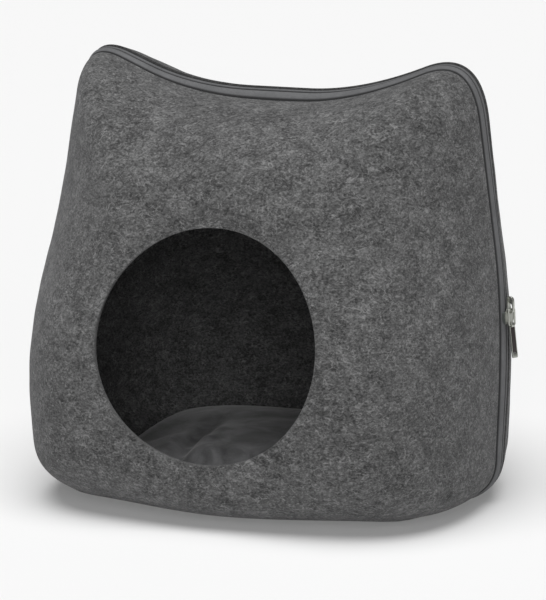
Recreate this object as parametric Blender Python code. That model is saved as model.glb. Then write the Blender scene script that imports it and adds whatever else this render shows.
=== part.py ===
"""Felt cat cave: two moulded felt halves that a zip joins all round, with a loose cushion inside.

Metres, +Z up. The entrance faces -Y, and +X is to the right of someone who looks into it. The
origin is on the floor, under the middle of the box that the whole thing fills. The zip line lies
in one upright plane, y = 0, and both halves grow away from it.
"""

import math
from collections import namedtuple

import bmesh
import bpy
from mathutils import Vector

# ---------------------------------------------------------------- sizes
GAP = 0.0003  # between pieces that touch
FELT = 0.0035  # the moulded felt's thickness
FELT_EDGE = 0.002  # the felt pressed thin along the zip
FELT_THINS_OVER = 0.012  # how far from the zip the felt reaches its full thickness
FLOOR_CUT = 0.003  # the underside is flat where its mould curve dips this far below the floor

ENTRANCE_RADIUS = 0.0884
ENTRANCE_HEIGHT = 0.1417  # of the entrance's centre
ENTRANCE_REACH = 0.1579  # how far the entrance's centre stands in front of the zip
ENTRANCE_TILT = math.radians(8.8)  # its face looks upwards by this much
ENTRANCE_BOW = 0.0059  # its sides stand further forward than its top and bottom
BACK_REACH = 0.1638  # how far the back's round end stands behind the zip
BACK_HEIGHT = 0.161  # of its centre
BACK_END_RADIUS = 0.070
BACK_END_CROWN = 0.004  # how much further its middle bulges

BAND = 0.0078  # zip tape showing on each side of the zip line
BAND_STARTS = math.radians(-47)  # seen from the entrance's centre, below which the halves meet
BAND_IS_FULL = math.radians(-43.6)
TAPE_ENDS = math.radians(-44)
SLIT = 0.001  # between the two tapes
TAPE = 0.0012
TAPE_LAP = 0.005  # of the tape under the felt's edge
TAPE_CLEARANCE = 0.0006
TAPE_CROWN = {"front": 0.0020, "back": 0.0022}  # how far each tape bulges outwards
TAPE_CROWN_PLACE = 0.6  # where, from the slit (0) to the felt's edge (1)
COIL_DEPTH = 0.0019  # of the coil's outer face below the zip line
COIL_WIDTH = 0.0044
COIL_HEIGHT = 0.0020

SLIDER_HEIGHT = 0.148  # of the slider's own zero, which is 3 mm above its plate's lower end
SLIDER_ROLL = math.radians(-15)  # of the slider on the zip line, towards the front
SLIDER_LIFT = 0.0014  # of the plate's underside above the zip line, over the taller tape
PLATE = 0.0010
CROWN_WIDTH = 0.0022
LINK_WIRE = 0.0008  # radius
LINK_HALF_WIDTH = 0.0034
LINK_BEND = 0.0011
LINK_TOP = Vector((0.0043, 0, 0.0080))  # the middle of the bar inside the crown
LINK_FOOT = Vector((0.0044, 0, -0.0042))  # the middle of the bar that the pull hangs on
LINK_TWIST = math.radians(-9)  # of the link in the crown, towards the front
PULL_TWIST = math.radians(-6)  # of the pull on the link, further round
PULL_LEAN = math.radians(6)  # of the pull's lower end, away from the felt
PULL_WIDTH = 0.0054
PULL_THICKNESS = 0.0013
PULL_LOW = -0.0256
PULL_HIGH = -0.0010
PULL_CORNER = 0.0009  # radius
PULL_EYE_OUTER = 0.0019  # radius of the rolled eye that the pull hangs by
PULL_EYE_INNER = 0.0011
PULL_EYE_LENGTH = 0.0034
FRAME_SIDE = 0.0006  # the metal frame's width beside its window
FRAME_FOOT = 0.0038  # below it
FRAME_HEAD = 0.0006  # and above it
WINDOW_CORNER = 0.0006
INSERT_PROUD = 0.0002  # how far the insert stands out of the frame, in front and behind

CUSHION_HALF_LENGTH = 0.135
CUSHION_HALF_WIDTH = 0.108
CUSHION_SQUARE = 3.2  # power of its outline
CUSHION_DRAWN_IN = 0.03  # of its sides between the corners, as a share
CUSHION_SEAM_HEIGHT = 0.026
CUSHION_TOP = 0.052
CUSHION_REST = FELT + 3 * GAP
CUSHION_FLAT = 3  # power of its underside, which lies nearly flat
CUSHION_CROWN = 2.6  # power of its top
CUSHION_CROWDING = 0.75  # power that draws its rings towards the seam
CREASE_PLACE = Vector((-0.054, -0.055))  # of the soft crease in its top
CREASE_DEPTH = 0.005
CREASE_HALF_WIDTH = 0.012
CREASE_HALF_LENGTH = 0.060

CENTRE = Vector((-0.0036, 0, 0))  # brings the whole thing's middle over the origin

CORNER_STEPS = 6
LEG_STEP = 0.026
FRONT_RINGS = 11
BACK_RINGS = 9
BACK_END_RINGS = 2
TAPE_STEPS = 3
WIRE_SIDES = 6
EYE_SIDES = 12
CUSHION_COLUMNS = 36
CUSHION_ROWS = 14

# The zip line's corners, anticlockwise as the front is seen, and how far along the legs before
# and after each one its rounding starts. The base leg dips below the floor, which presses it flat.
CORNERS = (
    # x, z, before, after
    (0.1841, -0.0034, 0.062, 0.039),  # right foot
    (0.1911, 0.1463, 0.066, 0.061),  # right side
    (0.1615, 0.3569, 0.056, 0.046),  # right ear
    (0.0648, 0.3182, 0.053, 0.043),  # right end of the dip
    (-0.0730, 0.3191, 0.049, 0.039),  # left end of the dip
    (-0.1601, 0.3558, 0.033, 0.030),  # left ear
    (-0.1936, 0.1465, 0.056, 0.066),  # left side
    (-0.1810, -0.0031, 0.045, 0.059),  # left foot
)

# How a half's section changes with the direction from the entrance's centre, in degrees above
# the horizon, alike on the left and the right. Inset is how far the felt's edge lies inside the
# zip line, square is the power of the section's curve (2 is an ellipse), and lean is how much of
# the back half closes in straight lines.
Section = namedtuple("Section", "direction front_inset front_square back_inset back_square back_lean")
SECTIONS = (
    Section(-90, 0.0045, 3.45, 0.0005, 3.13, 0.01),
    Section(-45, 0.0027, 2.63, 0.0010, 2.57, 0.20),
    Section(-10, 0.0040, 2.26, 0.0004, 2.12, 0.24),
    Section(20, 0.0032, 1.65, 0.0020, 2.09, 0.27),
    Section(52, 0.0033, 1.59, -0.0011, 1.89, 0.33),
    Section(90, 0.0076, 2.35, -0.0015, 2.04, 0.19),
)

Station = namedtuple("Station", "place inwards angle direction band")


# ---------------------------------------------------------------- the zip line
def ease(share):
    share = min(max(share, 0.0), 1.0)
    return share * share * (3 - 2 * share)


def section_slope(row, column):
    """How fast a column of SECTIONS changes at a row: not at all straight down and straight up."""
    if row in (0, len(SECTIONS) - 1):
        return 0
    before, after = SECTIONS[row - 1], SECTIONS[row + 1]
    return (getattr(after, column) - getattr(before, column)) / (after.direction - before.direction)


def section_value(station, column):
    """Reads a column of SECTIONS in a station's direction, from a smooth curve through its rows."""
    degrees = math.degrees(station.direction)
    row = max(index for index in range(len(SECTIONS) - 1) if SECTIONS[index].direction <= degrees)
    lower, upper = SECTIONS[row], SECTIONS[row + 1]
    span = upper.direction - lower.direction
    share = (degrees - lower.direction) / span
    rest = 1 - share
    value = getattr(lower, column) * (1 - ease(share)) + getattr(upper, column) * ease(share)
    value += section_slope(row, column) * span * share * rest * rest
    return value - section_slope(row + 1, column) * span * share * share * rest


def rounded_corner(index):
    """A quadratic curve that rounds one corner of the zip line."""
    x, z, before, after = CORNERS[index]
    corner = Vector((x, z))
    previous = Vector(CORNERS[index - 1][:2])
    following = Vector(CORNERS[(index + 1) % len(CORNERS)][:2])
    start = corner + (previous - corner).normalized() * before
    end = corner + (following - corner).normalized() * after
    shares = (step / CORNER_STEPS for step in range(CORNER_STEPS + 1))
    return [start.lerp(corner, t).lerp(corner.lerp(end, t), t) for t in shares]


def zip_line():
    """Stations round the closed zip line, each with the direction that points into the cave."""
    points = []
    rounded = [rounded_corner(index) for index in range(len(CORNERS))]
    for index, curve in enumerate(rounded):
        points += curve
        leg_end = rounded[(index + 1) % len(rounded)][0]
        steps = max(1, round((leg_end - curve[-1]).length / LEG_STEP))
        points += [curve[-1].lerp(leg_end, step / steps) for step in range(1, steps)]
    stations = []
    for index, point in enumerate(points):
        along = (points[(index + 1) % len(points)] - points[index - 1]).normalized()
        angle = math.atan2(point.y - ENTRANCE_HEIGHT, point.x)
        direction = math.asin(math.sin(angle))
        band = ease((direction - BAND_STARTS) / (BAND_IS_FULL - BAND_STARTS))
        stations.append(Station(point, Vector((-along.y, along.x)), angle, direction, band))
    return stations


def on_floor(height):
    """Presses the mould's curve flat on the floor, with a short blend."""
    if height >= FLOOR_CUT:
        return height
    return max(height + FLOOR_CUT, 0) ** 2 / (4 * FLOOR_CUT)


def in_space(flat, y):
    """Puts a point of the zip line's plane at a distance in front of or behind it."""
    return Vector((flat.x, y, on_floor(flat.y)))


def on_zip(station, depth, y):
    """A point below the zip line, lifted with the line where the floor presses it up."""
    flat = station.place + station.inwards * depth
    lifted = flat.y + on_floor(station.place.y) - station.place.y
    return Vector((flat.x, y, max(lifted, 0)))


# ---------------------------------------------------------------- the two felt halves
def felt_edge(station, half):
    """The corner of a half's cut edge, in the zip line's plane, and its distance from it."""
    inset = section_value(station, half + "_inset") * station.band
    return station.place + station.inwards * inset, max(BAND * station.band, GAP / 2)


def front_face(station, share):
    """The front half's outer face, from the zip (0) to the entrance (1)."""
    edge, forward = felt_edge(station, "front")
    power = 2 / section_value(station, "front_square")
    turn = share * math.pi / 2
    inwards = 1 - max(math.cos(turn), 0) ** power
    outwards = math.sin(turn) ** power
    rim = Vector((math.cos(station.angle), math.sin(station.angle))) * ENTRANCE_RADIUS
    reach = ENTRANCE_REACH - math.tan(ENTRANCE_TILT) * rim.y
    reach += ENTRANCE_BOW * math.cos(2 * station.angle)
    rim.y += ENTRANCE_HEIGHT
    return in_space(edge.lerp(rim, inwards), -(forward + (reach - forward) * outwards))


def back_face(station, share):
    """The back half's outer face, from the zip (0) to its round end (1) and the end's middle (2)."""
    edge, backward = felt_edge(station, "back")
    power = 2 / section_value(station, "back_square")
    lean = section_value(station, "back_lean")
    turn = min(share, 1) * math.pi / 2
    outwards = math.sin(turn) ** power
    inwards = lean * outwards + (1 - lean) * (1 - max(math.cos(turn), 0) ** power)
    middle = Vector((0, BACK_HEIGHT))
    end = Vector((math.cos(station.angle), math.sin(station.angle))) * BACK_END_RADIUS
    within = max(share - 1, 0)
    crown = BACK_END_CROWN * ease(within)
    reach = backward + (BACK_REACH - backward) * outwards + crown
    return in_space(edge.lerp(middle + end, inwards).lerp(middle, within), reach)


def placed_grid(columns, rows, place):
    """A sheet whose point in a column and a row is at place(column, row), welded where they meet."""
    mesh = bmesh.new()
    bmesh.ops.create_grid(mesh, x_segments=columns, y_segments=rows, size=1)
    half_x = max(vertex.co.x for vertex in mesh.verts)
    half_y = max(vertex.co.y for vertex in mesh.verts)
    for vertex in mesh.verts:
        column = round((vertex.co.x / half_x + 1) / 2 * columns)
        row = round((vertex.co.y / half_y + 1) / 2 * rows)
        vertex.co = place(column, row)
    bmesh.ops.remove_doubles(mesh, verts=mesh.verts, dist=0.00001)
    return mesh


def thicken_felt(mesh):
    """Gives a half its thickness inwards: an inner copy of its face, walled along the open edges."""
    mesh.normal_update()
    shift = mesh.verts.layers.float_vector.new("shift")
    for vertex in mesh.verts:
        inwards = -vertex.normal
        from_zip = abs(vertex.co.y) - BAND
        if vertex.is_boundary and from_zip < GAP:
            inwards = Vector((inwards.x, 0, inwards.z)).normalized()
        full = ease(max(from_zip, 0) / FELT_THINS_OVER)
        vertex[shift] = inwards * (FELT_EDGE + (FELT - FELT_EDGE) * full)
    inner = bmesh.ops.extrude_face_region(mesh, geom=mesh.faces[:], use_keep_orig=True)
    for item in inner["geom"]:
        if isinstance(item, bmesh.types.BMVert):
            item.co += item[shift]
    mesh.verts.layers.float_vector.remove(shift)
    bmesh.ops.recalc_face_normals(mesh, faces=mesh.faces)


def felt_half(name, stations, face, rings, end_rings, material, parent):
    count = len(stations)

    def place(column, row):
        share = row / rings if row <= rings else 1 + (row - rings) / end_rings
        return face(stations[column % count], share)

    mesh = placed_grid(count, rings + end_rings, place)
    bmesh.ops.recalc_face_normals(mesh, faces=mesh.faces)
    middle = sum((vertex.co for vertex in mesh.verts), Vector()) / len(mesh.verts)
    probe = max(mesh.faces, key=lambda each: each.calc_center_median().z)
    if probe.normal.dot(probe.calc_center_median() - middle) < 0:
        bmesh.ops.reverse_faces(mesh, faces=mesh.faces)
    thicken_felt(mesh)
    return finish(name, mesh, material, parent)


# ---------------------------------------------------------------- the zip
def tape_section(station, half, first_ring):
    """A tape's closed section as pairs of (depth below the zip line, distance from its plane)."""
    edge, reach = felt_edge(station, half)
    inset = (edge - station.place).dot(station.inwards)
    start = Vector((0, SLIT / 2))
    under_edge = Vector((inset + FELT_EDGE + TAPE_CLEARANCE, reach))
    bulge = start.lerp(under_edge, TAPE_CROWN_PLACE)
    bulge.x = -TAPE_CROWN[half] * station.band
    shares = (step / TAPE_STEPS for step in range(TAPE_STEPS + 1))
    outer = [start.lerp(bulge, t).lerp(bulge.lerp(under_edge, t), t) for t in shares]
    # The lap follows the felt's inner face, which thickens and turns in as it leaves the edge.
    turned_in = (Vector((first_ring.x, first_ring.z)) - edge).dot(station.inwards)
    slope = (turned_in + FELT - FELT_EDGE) / (abs(first_ring.y) - reach)
    outer.append(under_edge + Vector((slope * TAPE_LAP + TAPE_CLEARANCE, TAPE_LAP)))
    inner = []
    for index, point in enumerate(outer):
        before = outer[max(index - 1, 0)]
        after = outer[min(index + 1, len(outer) - 1)]
        along = (after - before).normalized()
        inner.append(point + Vector((along.y, -along.x)) * TAPE)
    return outer + inner[::-1]


def swept_strip(name, stations, section, material, parent):
    """A closed strip along stations: section(station) gives its points in space, in order."""
    rows = [section(station) for station in stations]
    around = len(rows[0])
    mesh = placed_grid(around, len(rows) - 1, lambda column, row: rows[row][column % around])
    ends = [edge for edge in mesh.edges if edge.is_boundary]
    bmesh.ops.holes_fill(mesh, edges=ends, sides=around)
    bmesh.ops.recalc_face_normals(mesh, faces=mesh.faces)
    return finish(name, mesh, material, parent)


def tape(name, stations, half, face, rings, material, parent):
    side = -1 if half == "front" else 1

    def section(station):
        first_ring = face(station, 1 / rings)
        pairs = tape_section(station, half, first_ring)
        return [on_zip(station, depth, side * away) for depth, away in pairs]

    return swept_strip(name, stations, section, material, parent)


def coil(stations, material, parent):
    half = COIL_WIDTH / 2
    low = COIL_DEPTH + COIL_HEIGHT
    pairs = ((COIL_DEPTH, -half), (COIL_DEPTH, half), (low, half), (low, -half))

    def section(station):
        return [on_zip(station, depth, away) for depth, away in pairs]

    return swept_strip("zip_coil", stations, section, material, parent)


def slider_stations(stations):
    """The two stations of the right-hand side that the slider's height lies between."""
    for below, above in zip(stations, stations[1:]):
        if above.place.x > 0 and below.place.y <= SLIDER_HEIGHT < above.place.y:
            return below, above
    raise ValueError("the slider is off the zip line")


# ---------------------------------------------------------------- the slider and its pull
# These pieces are modelled about the slider's own zero: +X out of the cave, +Z up along the zip.
def extruded(outline, thickness, axis, window=None):
    """An outline of pairs, with or without a window of as many, as a plate centred on an axis."""
    first, second, third = {"X": (1, 2, 0), "Y": (0, 2, 1)}[axis]
    mesh = bmesh.new()
    loops = []
    for pairs in filter(None, (outline, window)):
        corners = []
        for pair in pairs:
            place = Vector((0, 0, 0))
            place[first], place[second], place[third] = *pair, -thickness / 2
            corners.append(mesh.verts.new(place))
        loops += [mesh.edges.new(ends) for ends in zip(corners, corners[1:] + corners[:1])]
    if window:
        bmesh.ops.bridge_loops(mesh, edges=loops)
    else:
        bmesh.ops.contextual_create(mesh, geom=loops)
    other = bmesh.ops.extrude_face_region(mesh, geom=mesh.faces[:], use_keep_orig=True)
    push = Vector((0, 0, 0))
    push[third] = thickness
    moved = [item for item in other["geom"] if isinstance(item, bmesh.types.BMVert)]
    bmesh.ops.translate(mesh, verts=moved, vec=push)
    bmesh.ops.recalc_face_normals(mesh, faces=mesh.faces)
    return mesh


def rounded_rectangle(half_width, low, high, radius, steps=3):
    """An outline of pairs with rounded corners, centred across and from low to high."""
    inner = half_width - radius
    upper, lower = high - radius, low + radius
    centres = ((inner, upper), (-inner, upper), (-inner, lower), (inner, lower))
    outline = []
    for quarter, (across, up) in enumerate(centres):
        for step in range(steps + 1):
            turn = (quarter + step / steps) * math.pi / 2
            outline.append((across + radius * math.cos(turn), up + radius * math.sin(turn)))
    return outline


def circle(radius, sides):
    turns = (2 * math.pi * side / sides for side in range(sides))
    return [(radius * math.cos(turn), radius * math.sin(turn)) for turn in turns]


def join(piece, mesh, parent):
    """Unites a closed mesh with a piece."""
    addition = finish(piece.name + "_join", mesh, piece.data.materials[0], parent)
    addition.hide_render = True
    addition.display_type = "WIRE"
    union = piece.modifiers.new("join", "BOOLEAN")
    union.operation = "UNION"
    union.object = addition


def slider(parent, metal):
    """A plate with wide shoulders at its lower end, and a crown that arches over its upper end."""
    side = (
        # y, z down one side of the plate
        (0.0016, 0.0180), (0.0021, 0.0165), (0.0023, 0.0085),
        (0.0060, 0.0058), (0.0064, 0.0010), (0.0050, -0.0031),
    )
    plate = extruded([*side, *((-y, z) for y, z in reversed(side))], PLATE, "X")
    bmesh.ops.translate(plate, verts=plate.verts, vec=(SLIDER_LIFT + PLATE / 2, 0, 0))
    body = finish("zip_slider", plate, metal, parent)
    foot = SLIDER_LIFT + PLATE / 2
    arch = (
        # x, z over the crown's outer face and back along its inner face
        (0.0000, 0.0178), (0.0026, 0.0181), (0.0043, 0.0168), (0.0049, 0.0140), (0.0048, 0.0090),
        (0.0043, 0.0062), (0.0032, 0.0051), (0.0016, 0.0047), (0.0000, 0.0048),
        (0.0000, 0.0064), (0.0016, 0.0062), (0.0028, 0.0067), (0.0036, 0.0080),
        (0.0037, 0.0105), (0.0029, 0.0125), (0.0000, 0.0135),
    )
    join(body, extruded([(foot + x, z) for x, z in arch], CROWN_WIDTH, "Y"), parent)
    return body


def link(parent, metal):
    """A loop of wire that runs through the crown and the pull's eye."""
    down = LINK_FOOT - LINK_TOP
    path = rounded_rectangle(LINK_HALF_WIDTH, 0, down.length, LINK_BEND)
    centres = [down.normalized() * along + Vector((0, across, 0)) for across, along in path]
    face = down.cross(Vector((0, 1, 0))).normalized()
    rows = []
    for index, centre in enumerate(centres):
        along = (centres[(index + 1) % len(centres)] - centres[index - 1]).normalized()
        ring = circle(LINK_WIRE, WIRE_SIDES)
        rows.append([centre + face * x + along.cross(face) * y for x, y in ring])
    count = len(rows)
    mesh = placed_grid(WIRE_SIDES, count, lambda column, row: rows[row % count][column % WIRE_SIDES])
    bmesh.ops.recalc_face_normals(mesh, faces=mesh.faces)
    return finish("pull_link", mesh, metal, parent)


def pull_window(margin):
    """The outline of the frame's window, drawn in by a margin."""
    return rounded_rectangle(
        PULL_WIDTH / 2 - FRAME_SIDE - margin, PULL_LOW + FRAME_FOOT + margin,
        PULL_HIGH - FRAME_HEAD - margin, WINDOW_CORNER - margin,
    )


def pull(parent, metal, dark):
    """The pull tab: a metal frame that hangs by a rolled eye, and the dark insert in its window."""
    outer = rounded_rectangle(PULL_WIDTH / 2, PULL_LOW, PULL_HIGH, PULL_CORNER)
    frame = finish("pull_frame", extruded(outer, PULL_THICKNESS, "X", pull_window(0)), metal, parent)
    hole = circle(PULL_EYE_INNER, EYE_SIDES)
    join(frame, extruded(circle(PULL_EYE_OUTER, EYE_SIDES), PULL_EYE_LENGTH, "Y", hole), parent)
    insert = extruded(pull_window(GAP), PULL_THICKNESS + 2 * INSERT_PROUD, "X")
    finish("pull_insert", insert, dark, parent)


# ---------------------------------------------------------------- the cushion
def cushion_point(turn, share):
    """The cushion's surface: share runs from its underside's middle (0) over its seam to its top (1)."""
    power = 2 / CUSHION_SQUARE
    x = math.copysign(abs(math.cos(turn)) ** power, math.cos(turn)) * CUSHION_HALF_LENGTH
    y = math.copysign(abs(math.sin(turn)) ** power, math.sin(turn)) * CUSHION_HALF_WIDTH
    drawn = 1 - CUSHION_DRAWN_IN * math.cos(2 * turn) ** 2
    across = math.sin(share * math.pi) ** CUSHION_CROWDING
    under = share <= 0.5
    curve = math.sqrt(1 - across ** (CUSHION_FLAT if under else CUSHION_CROWN))
    middle = CUSHION_REST if under else CUSHION_TOP
    height = CUSHION_SEAM_HEIGHT + (middle - CUSHION_SEAM_HEIGHT) * curve
    place = Vector((x, y)) * drawn * across
    if not under:
        off = place - CREASE_PLACE
        near = math.exp(-((off.x / CREASE_HALF_WIDTH) ** 2) - (off.y / CREASE_HALF_LENGTH) ** 4)
        height -= CREASE_DEPTH * near
    return Vector((place.x, place.y, height))


def cushion(cloth, parent):
    def place(column, row):
        return cushion_point(2 * math.pi * column / CUSHION_COLUMNS, row / CUSHION_ROWS)

    mesh = placed_grid(CUSHION_COLUMNS, CUSHION_ROWS, place)
    bmesh.ops.recalc_face_normals(mesh, faces=mesh.faces)
    return finish("cushion", mesh, cloth, parent)


# ---------------------------------------------------------------- objects and materials
def finish(name, mesh, material, parent):
    """Makes an object of a bmesh, smooth but for its sharp edges."""
    data = bpy.data.meshes.new(name)
    mesh.to_mesh(data)
    mesh.free()
    data.shade_smooth()
    data.set_sharp_from_angle(angle=math.radians(40))
    data.materials.append(material)
    piece = bpy.data.objects.new(name, data)
    piece.parent = parent
    bpy.context.scene.collection.objects.link(piece)
    return piece


def holder(name, parent, place, turn):
    """An empty that carries pieces, at a place and a rotation within its parent."""
    made = bpy.data.objects.new(name, None)
    made.parent = parent
    made.location = place
    made.rotation_euler = turn
    bpy.context.scene.collection.objects.link(made)
    return made


def material(name, colour, roughness, metallic=0.0):
    made = bpy.data.materials.new(name)
    made.use_nodes = True
    shader = made.node_tree.nodes["Principled BSDF"]
    shader.inputs["Base Color"].default_value = (*colour, 1)
    shader.inputs["Roughness"].default_value = roughness
    shader.inputs["Metallic"].default_value = metallic
    return made


def main():
    for leftover in list(bpy.data.objects):
        bpy.data.objects.remove(leftover, do_unlink=True)
    felt = material("grey_felt", (0.12, 0.12, 0.12), 0.95)
    tape_cloth = material("zip_tape", (0.11, 0.11, 0.125), 0.75)
    nylon = material("zip_coil", (0.03, 0.03, 0.035), 0.5)
    metal = material("slider_metal", (0.45, 0.46, 0.42), 0.30, 1.0)
    insert = material("pull_insert", (0.022, 0.016, 0.016), 0.55)
    cushion_cloth = material("cushion_cloth", (0.05, 0.05, 0.052), 0.9)

    cave = holder("cave", None, CENTRE, (0, 0, 0))
    stations = zip_line()
    zipped = [station for station in stations if station.direction > TAPE_ENDS]
    felt_half("front_shell", stations, front_face, FRONT_RINGS, 0, felt, cave)
    felt_half("back_shell", stations, back_face, BACK_RINGS, BACK_END_RINGS, felt, cave)
    tape("tape_front", zipped, "front", front_face, FRONT_RINGS, tape_cloth, cave)
    tape("tape_back", zipped, "back", back_face, BACK_RINGS, tape_cloth, cave)
    coil(zipped, nylon, cave)
    cushion(cushion_cloth, cave)

    below, above = slider_stations(stations)
    share = (SLIDER_HEIGHT - below.place.y) / (above.place.y - below.place.y)
    spot = below.place.lerp(above.place, share)
    rise = above.place - below.place
    turn = (0, math.atan2(rise.x, rise.y), SLIDER_ROLL)
    on_line = holder("slider_place", cave, (spot.x, 0, spot.y), turn)
    slider(on_line, metal)
    hanging = holder("link_place", on_line, LINK_TOP, (0, 0, LINK_TWIST))
    link(hanging, metal)
    hung = holder("pull_place", hanging, LINK_FOOT - LINK_TOP, (0, -PULL_LEAN, PULL_TWIST))
    pull(hung, metal, insert)


main()
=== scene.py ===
"""Looks of a felt cat cave: two moulded felt halves, the zip that joins them, and a cushion inside.

Metres, +Z up. The entrance faces -Y, and +X is to the right of someone who looks into it. The pieces
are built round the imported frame, each where its CAD solid is. The file is laid out as an add-on, with
one operator for each group of pieces, and is run as a script.
"""

import math
from bisect import bisect
from collections import namedtuple

import bmesh
import bpy
from bpy.props import FloatProperty, FloatVectorProperty, PointerProperty
from bpy.types import Operator, Panel, PropertyGroup
from mathutils import Euler, Matrix, Vector, noise
from mathutils.bvhtree import BVHTree


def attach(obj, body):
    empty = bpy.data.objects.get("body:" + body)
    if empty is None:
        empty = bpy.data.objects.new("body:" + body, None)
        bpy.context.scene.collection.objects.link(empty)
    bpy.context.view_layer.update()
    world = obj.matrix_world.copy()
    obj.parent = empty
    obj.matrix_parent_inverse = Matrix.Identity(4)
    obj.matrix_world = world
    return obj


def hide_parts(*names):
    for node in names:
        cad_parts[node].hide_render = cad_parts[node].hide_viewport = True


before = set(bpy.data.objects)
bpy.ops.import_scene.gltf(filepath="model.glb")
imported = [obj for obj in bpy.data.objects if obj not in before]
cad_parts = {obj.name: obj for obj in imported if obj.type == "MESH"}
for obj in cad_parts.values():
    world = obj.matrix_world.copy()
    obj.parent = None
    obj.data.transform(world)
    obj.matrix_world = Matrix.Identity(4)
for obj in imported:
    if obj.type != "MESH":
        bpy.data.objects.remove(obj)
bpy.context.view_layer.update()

bl_info = {
    "name": "Felt Cat Cave",
    "version": (1, 0, 0),
    "blender": (4, 5, 0),
    "location": "3D View > Sidebar > Felt Cave",
    "description": "Adds the pieces of a moulded felt cat cave round its frame",
    "category": "Object",
}

# ---------------------------------------------------------------- the mould's sizes
CENTRE = Vector((-0.0036, 0, 0))  # brings the whole thing's middle over the origin
FLOOR_CUT = 0.003  # the underside is flat where its mould curve dips this far below the floor
HALVES_APART = 0.0003  # along the floor, where no zip parts them

ENTRANCE_RADIUS = 0.0884
ENTRANCE_HEIGHT = 0.1417
ENTRANCE_REACH = 0.1579  # how far the entrance's centre stands in front of the zip
ENTRANCE_TILT = math.radians(8.8)
ENTRANCE_BOW = 0.0059  # its sides stand further forward than its top and bottom
BACK_REACH = 0.1638
BACK_HEIGHT = 0.161
BACK_END_RADIUS = 0.070
BACK_END_CROWN = 0.004

BAND_STARTS = math.radians(-47)  # seen from the entrance's centre, below which the halves meet
BAND_IS_FULL = math.radians(-43.6)
TAPE_ENDS = math.radians(-44)
SLIT = 0.001
TAPE_LAP = 0.005
TAPE_CLEARANCE = 0.0006
TAPE_LIPS = 0.0013  # how deep the tapes turn down into the slit
TAPE_CROWN = {"front": 0.0024, "back": 0.0014}  # how far a tape bulges between its edges
TAPE_BEND = {"front": 0.85, "back": 0.6}  # below 1, a tape rises faster at the slit than at the felt
TAPE_COLUMN = 0.00085  # between the threads that its shape is drawn with
LAP_FOLLOWS = {"front": 1 / 11, "back": 1 / 18}  # the share of the felt's face that the lap lies along
COIL_DEPTH = 0.0030  # of the coil's middle below the zip line
COIL_MIDDLE = 0.62  # of a coil from the slit, in half widths, so that the two interlock
COIL_MARGIN = 0.004  # how far inside the tapes' ends the coils stop

# The zip line's corners, anticlockwise as the front is seen, and how far along the legs before and
# after each one its rounding starts.
CORNERS = (
    # x, z, before, after
    (0.1841, -0.0034, 0.062, 0.039),  # right foot
    (0.1911, 0.1463, 0.066, 0.061),  # right side
    (0.1615, 0.3569, 0.056, 0.046),  # right ear
    (0.0648, 0.3182, 0.053, 0.043),  # right end of the dip
    (-0.0730, 0.3191, 0.049, 0.039),  # left end of the dip
    (-0.1601, 0.3558, 0.033, 0.030),  # left ear
    (-0.1936, 0.1465, 0.056, 0.066),  # left side
    (-0.1810, -0.0031, 0.045, 0.059),  # left foot
)

# How a half's section changes with the direction from the entrance's centre, in degrees above the
# horizon. Inset is how far the felt's edge lies inside the zip line, square is the power of the
# section's curve, and lean is how much of the back half closes in straight lines.
Section = namedtuple("Section", "direction front_inset front_square back_inset back_square back_lean")
SECTIONS = (
    Section(-90, 0.0045, 3.45, 0.0005, 3.13, 0.01),
    Section(-45, 0.0027, 2.63, 0.0010, 2.57, 0.20),
    Section(-10, 0.0040, 2.26, 0.0004, 2.12, 0.24),
    Section(20, 0.0032, 1.65, 0.0020, 2.09, 0.27),
    Section(52, 0.0033, 1.59, -0.0011, 1.89, 0.33),
    Section(90, 0.0076, 2.35, -0.0015, 2.04, 0.19),
)

# Soft troughs and ridges, listed one by one: where they are, how they turn from level in degrees, half
# their length and width, and how deep they are, or how high where depth is negative.
Fold = namedtuple("Fold", "across up turn half_length half_width depth")
FOLDS = {
    "front": (
        Fold(-0.105, 0.275, 20, 0.034, 0.014, 0.0026),
        Fold(-0.150, 0.215, 78, 0.050, 0.016, 0.0012),
        Fold(0.118, 0.268, -50, 0.040, 0.015, 0.0016),
        Fold(0.150, 0.175, 84, 0.075, 0.014, 0.0010),
        Fold(0.060, 0.030, 6, 0.070, 0.012, 0.0010),
    ),
    "back": (
        Fold(0.112, 0.262, -48, 0.045, 0.016, 0.0024),
        Fold(-0.118, 0.255, 55, 0.048, 0.015, 0.0020),
        Fold(0.020, 0.060, 4, 0.090, 0.016, 0.0014),
    ),
}
FELT_FOLD_ENDS = 2  # the power by which a fold fades towards its ends, which are blunter above 2
CREASE_ENDS = 4

# Each half's blank as it is cut, and the area of it that the half takes.
BLANKS = {"front": ((0.58, 0.55), 0.213), "back": ((0.56, 0.55), 0.228)}

# The unevenness of moulded felt: the scale, the offset and the share of each of its waves, and the
# distances over which it grows from nothing at the zip, at the floor and round the entrance.
WAVES = ((16, Vector((3.1, 0, 7.7)), 1.0), (52, Vector((0, 0, 0)), 0.35))
SMOOTH_BY_ZIP = 0.018
SMOOTH_BY_FLOOR = 0.022
SMOOTH_BY_ENTRANCE = 0.020
ENTRANCE_FACE = -0.12  # in front of this the felt is the entrance's surround

# ---------------------------------------------------------------- how finely the pieces are made
CORNER_STEPS = 26
LEG_STEP = 0.0055
FELT_RINGS = 84
RING_CROWDING = 0.55  # how much closer the rings lie towards a half's two edges
FINE_STEPS = 160
TAPE_STEPS = 10
COIL_TURN_STEPS = 8
COIL_SIDES = 5
CUSHION_COLUMNS = 72
CUSHION_ROWS = 30
LINK_SIDES = 12
FILLING_FRAMES = 20
SHARP = math.radians(40)
WELD = 0.00001
FLOOR_REACH = 16
SENSOR = 36

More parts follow.
